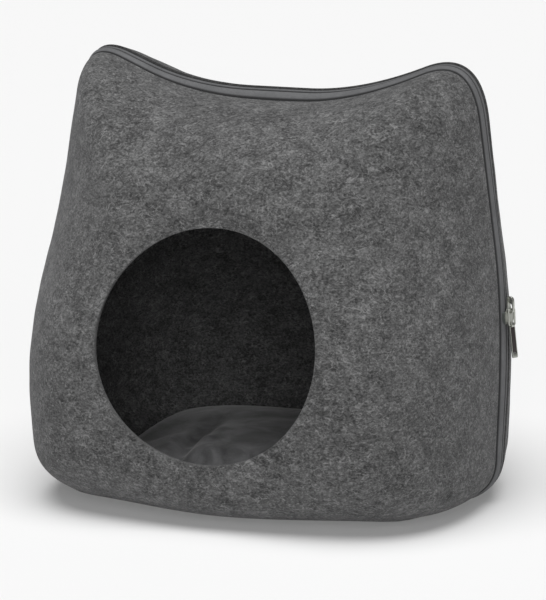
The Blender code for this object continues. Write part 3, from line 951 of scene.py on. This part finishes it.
def mixed_in(tree, noise_value, strength, tone, clamp=False):
    """Adds a noise to a tone, which it raises and lowers alike."""
    even = calculated(tree, "SUBTRACT", noise_value, 0.5)
    return calculated(tree, "MULTIPLY_ADD", even, strength, tone, clamp=clamp)


def strands(tree, where, kind):
    """Short curly strands: thin lines where a twisted noise passes its middle, cut by another."""
    curly = cloudy(tree, where, Pattern(kind.scale, 1, 0.5, 1.2, kind.offset))
    off_middle = calculated(tree, "ABSOLUTE", calculated(tree, "SUBTRACT", curly, 0.5))
    line = ranged(tree, off_middle, kind.width, 0.0)
    cut = cloudy(tree, where, Pattern(kind.scale * 0.9, 0, 0.5, 0.0, kind.offset))
    part = ranged(tree, cut, kind.length - STRAND_ENDS, kind.length + STRAND_ENDS)
    return calculated(tree, "MULTIPLY", line, part)


def shader_of(name, colour, roughness, sockets=None):
    """A new material with its Principled shader, and plain values on its other sockets."""
    made = bpy.data.materials.new(name)
    made.use_nodes = True
    made.diffuse_color = (*colour, 1)
    shader = made.node_tree.nodes["Principled BSDF"]
    values = {"Base Color": (*colour, 1), "Roughness": roughness, "Metallic": 0.0, **(sockets or {})}
    for socket, value in values.items():
        shader.inputs[socket].default_value = value
    return made, made.node_tree, shader


def finished(tree, shader, colour, rough=None, relief=None):
    """Links a shader's colour, its roughness and its relief: height, distance and strength."""
    fill(tree, shader.inputs["Base Color"], colour)
    if rough is not None:
        fill(tree, shader.inputs["Roughness"], rough)
    if relief:
        inputs = dict(zip(("Height", "Distance", "Strength"), relief))
        fill(tree, shader.inputs["Normal"], node(tree, "Bump", inputs).outputs[0])


def felt_finish(felt):
    """Needled felt of dark and pale grey fibres, mottled, with short strands and painted shade on cut edges.
    """
    made, tree, shader = shader_of("grey_felt", felt.colour, 0.95, {
        "Sheen Weight": 0.12, "Sheen Roughness": 0.6, "Sheen Tint": (0.8, 0.8, 0.82, 1),
        "Specular IOR Level": 0.2,
    })
    level = scaled(tree, object_place(tree), FELT_LIES)
    patches, tangle, grain = (
        cloudy(tree, level, pattern) for pattern in (FELT_PATCHES, FELT_TANGLE, FELT_GRAIN)
    )
    pale, pale_short, dark = (
        strands(tree, level, kind) for kind in (PALE_STRANDS, PALE_SHORT_STRANDS, DARK_STRANDS)
    )
    tone = mixed_in(tree, patches, felt.patches, 0.5)
    tone = mixed_in(tree, tangle, felt.tangle, tone)
    tone = mixed_in(tree, grain, felt.grain, tone)
    tone = calculated(tree, "MULTIPLY_ADD", pale, felt.strands, tone)
    tone = calculated(tree, "MULTIPLY_ADD", pale_short, felt.strands * 0.8, tone)
    tone = calculated(tree, "MULTIPLY_ADD", dark, -felt.strands * 0.5, tone, clamp=True)
    tone = calculated(tree, "POWER", tone, FELT_CONTRAST)
    colour = shades(tree, tone, felt.colour, felt.darkest, felt.palest)
    # painted shade: the cut edges are darkened, which tones down the light they catch and draws a dark line
    # along the rims
    cut = node(tree, "Attribute", attribute_name="cut").outputs["Fac"]
    cut = calculated(tree, "MULTIPLY", cut, CUT_PAINTED_SHADE_SHARE)
    colour = blended(tree, cut, colour, shade_of(felt.colour, felt.cut_painted_shade))
    height = calculated(tree, "MULTIPLY_ADD", grain, 0.5, tangle)
    height = calculated(tree, "MULTIPLY_ADD", calculated(tree, "ADD", pale, pale_short), 0.6, height)
    finished(tree, shader, colour, relief=(height, felt.relief, 0.7))
    return made


def tape_finish(zip_look):
    """Smooth twill tape, with its threads across and along it, and painted shade in its two folds."""
    made, tree, shader = shader_of("zip_tape", zip_look.tape_colour, 0.62, {
        "Sheen Weight": 0.05, "Sheen Roughness": 0.4, "Specular IOR Level": 0.15,
    })
    flat = node(tree, "UVMap", uv_map="flat").outputs["UV"]
    where = object_place(tree)
    across, along, _ = node(tree, "SeparateXYZ", {"Vector": flat}).outputs
    waves = 2 * math.pi / zip_look.rib
    twill = calculated(tree, "MULTIPLY_ADD", across, TWILL_SLANT, along)
    rib = calculated(tree, "SINE", calculated(tree, "MULTIPLY", twill, waves))
    thread = calculated(tree, "SINE", calculated(tree, "MULTIPLY", across, waves * THREADS_PER_RIB))
    weave = calculated(tree, "MULTIPLY_ADD", thread, 0.4, rib)
    tone = mixed_in(tree, cloudy(tree, where, TAPE_FINE), 0.8, cloudy(tree, where, TAPE_SOFT))
    tone = calculated(tree, "MULTIPLY_ADD", weave, 0.05, tone, clamp=True)
    colour = shades(tree, tone, zip_look.tape_colour, 0.80, 1.20)
    half_width = TAPE_COLUMN * TAPE_STEPS / 2
    place = calculated(tree, "DIVIDE", calculated(tree, "SUBTRACT", across, half_width), half_width)
    # painted shade: the colour darkens towards the felt's edge and the slit, where the folds would lie in
    # shade
    shade_by_felt, shade_by_slit = (ranged(tree, place, *fold) for fold in (PAINTED_SHADE_BY_FELT, PAINTED_SHADE_BY_SLIT))
    fold = calculated(tree, "MAXIMUM", shade_by_felt, shade_by_slit)
    shade = calculated(tree, "MULTIPLY", fold, zip_look.painted_fold_shade)
    colour = blended(tree, shade, colour, shade_of(zip_look.tape_colour, 0.1))
    finished(tree, shader, colour, relief=(weave, 0.00006, 0.6))
    return made


def coil_finish(zip_look):
    """Dark nylon with a slight shine."""
    made, tree, shader = shader_of("zip_coil", zip_look.coil_colour, 0.42)
    dust = cloudy(tree, object_place(tree), COIL_DUST)
    colour = shades(tree, dust, zip_look.coil_colour, 0.8, 1.3)
    finished(tree, shader, colour, ranged(tree, dust, 0.3, 0.7, 0.34, 0.52))
    return made


def metal_finish(slider):
    """Nickel plate, a little worn, with fine scratches."""
    made, tree, shader = shader_of("slider_metal", slider.metal_colour, 0.28, {"Metallic": 1.0})
    where = object_place(tree)
    worn = cloudy(tree, where, METAL_WEAR)
    scratch = cloudy(tree, scaled(tree, where, METAL_DRAWN), METAL_SCRATCH)
    colour = shades(tree, worn, slider.metal_colour, 0.7, 1.0)
    finished(tree, shader, colour, ranged(tree, worn, 0.3, 0.7, 0.32, 0.48), (scratch, 0.00002, 0.25))
    return made


def shaded_wall_finish(slider):
    """The walls' metal, darker and duller as painted dim reflections, with a few rubbed spots."""
    made, tree, shader = shader_of("slider_zinc", slider.shaded_wall_colour, 0.6, {"Metallic": 0.5})
    rubbed = cloudy(tree, object_place(tree), WALL_RUBBED)
    colour = shades(tree, rubbed, slider.shaded_wall_colour, 0.7, 1.4)
    finished(tree, shader, colour, ranged(tree, rubbed, 0.3, 0.7, 0.65, 0.45), (rubbed, 0.00003, 0.3))
    return made


def insert_finish(slider):
    """The pull's dark insert: soft, fine-grained."""
    made, tree, shader = shader_of("pull_insert", slider.insert_colour, 0.55)
    where = object_place(tree)
    cells = {"Vector": where, "Scale": INSERT_GRAIN}
    grain = node(tree, "TexVoronoi", cells, feature="SMOOTH_F1").outputs["Distance"]
    tone = cloudy(tree, where, INSERT_TONE)
    colour = shades(tree, tone, slider.insert_colour, 0.7, 1.5)
    finished(tree, shader, colour, ranged(tree, tone, 0.3, 0.7, 0.45, 0.65), (grain, 0.00005, 0.4))
    return made


def cushion_finish(cushion):
    """Soft brushed cloth."""
    made, tree, shader = shader_of("cushion_cloth", cushion.colour, 0.9, {
        "Sheen Weight": 0.3, "Sheen Roughness": 0.5,
    })
    where = object_place(tree)
    brushed = ranged(tree, cloudy(tree, where, CUSHION_BRUSHED), 0.25, 0.75)
    pile = cloudy(tree, where, CUSHION_PILE)
    colour = shades(tree, mixed_in(tree, pile, 0.8, brushed, clamp=True), cushion.colour, 0.5, 1.5)
    finished(tree, shader, colour, relief=(calculated(tree, "ADD", pile, brushed), 0.0003, 0.5))
    return made


# ---------------------------------------------------------------- pieces
def add_piece(name, mesh, material, slot, *replaced):
    """Makes a piece of a mesh, on the body and in the place of its CAD nodes."""
    piece = new_object(name, mesh)
    piece.data.shade_smooth()
    piece.data.set_sharp_from_angle(angle=SHARP)
    piece.data.materials.append(material)
    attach(piece, "root")
    if replaced:
        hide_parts(*replaced)
    return piece


def slider_places(stations, slider):
    """The transforms of the slider, the link and the pull."""
    for below, above in zip(stations, stations[1:]):
        if above.place.x > 0 and below.place.y <= slider.height < above.place.y:
            break
    else:
        raise ValueError("the slider is off the zip line")
    share = (slider.height - below.place.y) / (above.place.y - below.place.y)
    spot = below.place.lerp(above.place, share)
    rise = above.place - below.place
    upright = Euler((0, math.atan2(rise.x, rise.y), -slider.roll))
    on_line = Matrix.LocRotScale(Vector((spot.x, 0, spot.y)) + CENTRE, upright, None)
    hanging = on_line @ Matrix.LocRotScale(LINK_TOP, Euler((0, 0, -slider.link_twist)), None)
    turned = Euler((0, -slider.lean, -slider.pull_twist))
    hung = hanging @ Matrix.LocRotScale(LINK_FOOT - LINK_TOP, turned, None)
    return on_line, hanging, hung


def direction_from(azimuth, elevation):
    """Towards a place that is seen at an azimuth from straight in front, and an elevation."""
    level = math.cos(elevation)
    return Vector((math.sin(azimuth) * level, -math.cos(azimuth) * level, math.sin(elevation)))


def add_facing(name, data, towards, place=(0, 0, 0)):
    """Adds a light or a camera that stands towards a direction, and looks back along it."""
    made = bpy.data.objects.new(name, data)
    made.location = place
    made.rotation_euler = (-towards).to_track_quat("-Z", "Y").to_euler()
    bpy.context.scene.collection.objects.link(made)
    return made


# ---------------------------------------------------------------- settings
def number_setting(name, description, default):
    return FloatProperty(name=name, description=description, default=default)


def share_setting(name, description, default):
    return FloatProperty(name=name, description=description, default=default, subtype="FACTOR")


def length_setting(name, description, metres):
    return FloatProperty(name=name, description=description, default=metres, unit="LENGTH")


def angle_setting(name, description, degrees):
    turn = math.radians(degrees)
    return FloatProperty(name=name, description=description, default=turn, unit="ROTATION")


def colour_setting(name, description, default):
    return FloatVectorProperty(name=name, description=description, default=default, subtype="COLOR")


class FeltSettings(PropertyGroup):
    thickness: length_setting("Thickness", "Of the moulded felt", 0.0035)
    edge: length_setting("Edge", "Thickness pressed along the zip", 0.002)
    thins_over: length_setting("Thins over", "Distance from the zip to full thickness", 0.012)
    band: length_setting("Zip band", "Zip tape showing on each side of the zip line", 0.0078)
    edge_rounding: length_setting("Edge rounding", "How far the cut edges are rounded", 0.0005)
    unevenness: length_setting("Unevenness", "How uneven the moulded surface is", 0.0009)
    colour: colour_setting("Colour", "Mean colour of the felt", (0.081, 0.081, 0.081))
    darkest: share_setting("Darkest", "Share of the colour in the darkest fibres", 0.25)
    palest: number_setting("Palest", "Times the colour in the palest fibres", 2.6)
    patches: number_setting("Patches", "Strength of the soft patches", 0.5)
    tangle: number_setting("Tangle", "Strength of the mottling by tangled fibres", 1.1)
    grain: number_setting("Grain", "Strength of the fine grain", 1.15)
    strands: number_setting("Strands", "Strength of the single strands", 0.34)
    relief: length_setting("Relief", "Height of the fibres", 0.0006)
    # painted shade on the cut edges
    cut_painted_shade: share_setting("Cut edges", "Share of the colour on the cut edges", 0.8)


class ZipSettings(PropertyGroup):
    tape_thickness: length_setting("Tape", "Thickness of a tape", 0.0012)
    rib: length_setting("Rib", "Spacing of the twill ribs", 0.0006)
    tape_colour: colour_setting("Tape colour", "Of the zip tapes", (0.129, 0.130, 0.134))
    # painted shade: how far the tapes' colour is darkened in their folds
    painted_fold_shade: share_setting("Folds", "How much darker the tapes are in their folds", 0.9)
    coil_pitch: length_setting("Pitch", "Between the coil's turns", 0.0013)
    coil_width: length_setting("Coil width", "Of one of the two coils", 0.0026)
    coil_height: length_setting("Coil height", "Of the coils", 0.0013)
    coil_wire: length_setting("Wire", "Radius of the nylon wire", 0.00026)
    coil_colour: colour_setting("Coil colour", "Of the nylon coils", (0.03, 0.03, 0.035))


class SliderSettings(PropertyGroup):
    height: length_setting("Height", "Of the slider above the floor", 0.148)
    roll: angle_setting("Roll", "Of the slider, towards the front", 15)
    link_twist: angle_setting("Link twist", "Turn of the link towards the front", 9)
    pull_twist: angle_setting("Pull twist", "Further turn of the pull", 6)
    lean: angle_setting("Lean", "Of the pull's lower end away from the felt", 6)
    metal_colour: colour_setting("Metal", "Colour of the nickel plate", (0.52, 0.53, 0.485))
    # painted reflection: the walls' colour is kept darker than the nickel, for the dim reflections they show
    shaded_wall_colour: colour_setting("Zinc", "Colour of the slider's dull walls", (0.11, 0.12, 0.112))
    insert_colour: colour_setting("Insert", "Colour of the pull's insert", (0.022, 0.016, 0.016))


class CushionSettings(PropertyGroup):
    pressure: number_setting("Pressure", "Of the filling on the cover", 4.0)
    swell: length_setting("Swell", "How far the filling may move the cover", 0.008)
    colour: colour_setting("Colour", "Of the cushion's cloth", (0.112, 0.112, 0.115))


class StageSettings(PropertyGroup):
    azimuth: angle_setting("Azimuth", "Of the camera, from straight in front", 20.37)
    elevation: angle_setting("Elevation", "Of the camera", 10.83)
    distance: length_setting("Distance", "Of the camera", 2.5134)
    aim: FloatVectorProperty(
        name="Aim", description="Where the camera looks", default=(-0.0088, 0.0, 0.1503),
        subtype="TRANSLATION",
    )
    lens: number_setting("Lens", "Focal length on a 36 mm sensor, in millimetres", 189.6)
    key_strength: number_setting("Key light", "Strength of the wide light overhead", 3.22)
    key_azimuth: angle_setting("Key azimuth", "Where the key light comes from, from straight in front", 10)
    key_elevation: angle_setting("Key elevation", "Of the key light", 80)
    key_width: angle_setting("Key width", "Angle that the key light fills", 50)
    fill_strength: number_setting("Front light", "Strength of the light from the front", 0.95)
    fill_azimuth: angle_setting("Front azimuth", "Where the front light comes from", 20)
    fill_elevation: angle_setting("Front elevation", "Of the front light", 18)
    fill_width: angle_setting("Front width", "Angle that the front light fills", 36)
    sky: number_setting("Sky", "Strength of the light from all round", 0.04)
    floor_colour: colour_setting("Floor", "Colour of the floor", (0.70, 0.70, 0.70))
    floor_glow: number_setting("Floor glow", "Light that the floor gives of its own", 0.155)


# ---------------------------------------------------------------- operators
class FELTCAVE_OT_felt_halves(Operator):
    """Add the two moulded felt halves"""

    bl_idname = "felt_cave.felt_halves"
    bl_label = "Felt Halves"

    def execute(self, context):
        felt = context.scene.felt_cave_felt
        finish = felt_finish(felt)
        stations = zip_line()
        for half, (flat, area) in BLANKS.items():
            mesh = centred(felt_half(stations, half, felt))
            piece = add_piece(f"felt_{half}", mesh, finish, "grey_felt", f"{half}_shell")
        return {"FINISHED"}


class FELTCAVE_OT_zip_tapes(Operator):
    """Add the two zip tapes"""

    bl_idname = "felt_cave.zip_tapes"
    bl_label = "Zip Tapes"

    def execute(self, context):
        felt, zip_look = context.scene.felt_cave_felt, context.scene.felt_cave_zip
        finish = tape_finish(zip_look)
        stations = zipped_part(zip_line())
        for half in ("front", "back"):
            mesh = centred(tape_strip(stations, half, felt, zip_look))
            piece = add_piece(f"zip_tape_{half}", mesh, finish, "zip_tape", f"tape_{half}")
        return {"FINISHED"}


class FELTCAVE_OT_zip_coils(Operator):
    """Add the two interlocked nylon coils"""

    bl_idname = "felt_cave.zip_coils"
    bl_label = "Zip Coils"

    def execute(self, context):
        zip_look = context.scene.felt_cave_zip
        finish = coil_finish(zip_look)
        stations = zipped_part(zip_line())
        for name, side in (("zip_coil_front", -1), ("zip_coil_back", 1)):
            mesh = centred(coil_half(stations, side, zip_look))
            add_piece(name, mesh, finish, "zip_coil", "zip_coil")
        return {"FINISHED"}


class FELTCAVE_OT_zip_slider(Operator):
    """Add the slider with its link and its pull"""

    bl_idname = "felt_cave.zip_slider"
    bl_label = "Zip Slider"

    def execute(self, context):
        slider = context.scene.felt_cave_slider
        metal, shaded_metal, dark = metal_finish(slider), shaded_wall_finish(slider), insert_finish(slider)
        on_line, hanging, hung = slider_places(zip_line(), slider)
        body = union(slider_plate(), slider_crown())
        pieces = (
            ("slider_body", body, on_line, metal, "slider_metal", "zip_slider"),
            # the walls take the darker copy of the metal, as painted dim reflections
            ("slider_walls", slider_walls(), on_line, shaded_metal, "slider_metal", "zip_slider"),
            ("slider_link", link_loop(), hanging, metal, "slider_metal", "pull_link"),
            ("slider_pull", union(pull_plate(), pull_eye()), hung, metal, "slider_metal", "pull_frame"),
            ("slider_insert", insert_block(), hung, dark, "pull_insert", "pull_insert"),
        )
        for name, mesh, place, finish, slot, replaced in pieces:
            bmesh.ops.transform(mesh, matrix=place, verts=mesh.verts)
            add_piece(name, mesh, finish, slot, replaced)
        return {"FINISHED"}


class FELTCAVE_OT_cushion(Operator):
    """Add the loose cushion"""

    bl_idname = "felt_cave.cushion"
    bl_label = "Cushion"

    def execute(self, context):
        cushion = context.scene.felt_cave_cushion
        case, cloth = centred(cushion_case()), cushion_finish(cushion)
        piece = add_piece("loose_cushion", case, cloth, "cushion_cloth", "cushion")
        remesh = piece.modifiers.new("even", "REMESH")
        remesh.mode = "VOXEL"
        remesh.voxel_size = CUSHION_VOXEL
        applied(piece)
        puff_up(piece, cushion)
        mesh = mesh_of(piece.data)
        keep_inside(mesh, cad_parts["cushion"].data, CUSHION_INSIDE)
        crease_cushion(mesh)
        mesh.to_mesh(piece.data)
        mesh.free()
        piece.data.shade_smooth()
        finer = piece.modifiers.new("finer", "SUBSURF")
        finer.levels = finer.render_levels = 1
        return {"FINISHED"}


class FELTCAVE_OT_stage(Operator):
    """Add the floor, the lights and the camera"""

    bl_idname = "felt_cave.stage"
    bl_label = "Stage"

    def execute(self, context):
        stage = context.scene.felt_cave_stage
        mesh = bmesh.new()
        bmesh.ops.create_grid(mesh, x_segments=1, y_segments=1, size=FLOOR_REACH)
        floor = new_object("floor", mesh)
        material, _, _ = shader_of("pale_floor", stage.floor_colour, 0.9, {
            "Specular IOR Level": 0.1, "Emission Color": (1, 1, 1, 1), "Emission Strength": stage.floor_glow,
        })
        floor.data.materials.append(material)
        for name, prefix in (("overhead_light", "key"), ("front_light", "fill")):
            strength, width, azimuth, elevation = (
                getattr(stage, f"{prefix}_{each}") for each in ("strength", "width", "azimuth", "elevation")
            )
            light = bpy.data.lights.new(name, "SUN")
            light.energy = strength
            light.angle = width
            add_facing(name, light, direction_from(azimuth, elevation))
        world = bpy.data.worlds.new("pale_room")
        world.use_nodes = True
        sky = world.node_tree.nodes["Background"]
        sky.inputs["Color"].default_value = (1, 1, 1, 1)
        sky.inputs["Strength"].default_value = stage.sky
        context.scene.world = world
        camera = bpy.data.cameras.new("camera")
        camera.sensor_width = SENSOR
        camera.lens = stage.lens
        towards = direction_from(stage.azimuth, stage.elevation)
        place = Vector(stage.aim) + towards * stage.distance
        context.scene.camera = add_facing("camera", camera, towards, place)
        context.scene.view_settings.view_transform = "Standard"
        return {"FINISHED"}


class FELTCAVE_PT_panel(Panel):
    """Lists the cave's groups of pieces"""

    bl_idname = "FELTCAVE_PT_panel"
    bl_label = "Felt Cat Cave"
    bl_space_type = "VIEW_3D"
    bl_region_type = "UI"
    bl_category = "Felt Cave"

    def draw(self, context):
        for kind in OPERATORS:
            self.layout.operator(kind.bl_idname)


OPERATORS = (
    FELTCAVE_OT_felt_halves,
    FELTCAVE_OT_zip_tapes,
    FELTCAVE_OT_zip_coils,
    FELTCAVE_OT_zip_slider,
    FELTCAVE_OT_cushion,
    FELTCAVE_OT_stage,
)
SETTINGS = {
    "felt_cave_felt": FeltSettings,
    "felt_cave_zip": ZipSettings,
    "felt_cave_slider": SliderSettings,
    "felt_cave_cushion": CushionSettings,
    "felt_cave_stage": StageSettings,
}


def register():
    for kind in (*SETTINGS.values(), *OPERATORS, FELTCAVE_PT_panel):
        bpy.utils.register_class(kind)
    for name, kind in SETTINGS.items():
        setattr(bpy.types.Scene, name, PointerProperty(type=kind))


def unregister():
    for name in SETTINGS:
        delattr(bpy.types.Scene, name)
    for kind in (FELTCAVE_PT_panel, *reversed(OPERATORS), *reversed(SETTINGS.values())):
        bpy.utils.unregister_class(kind)


def main():
    register()
    for kind in OPERATORS:
        group, name = kind.bl_idname.split(".")
        getattr(getattr(bpy.ops, group), name)()


if __name__ == "__main__":
    main()
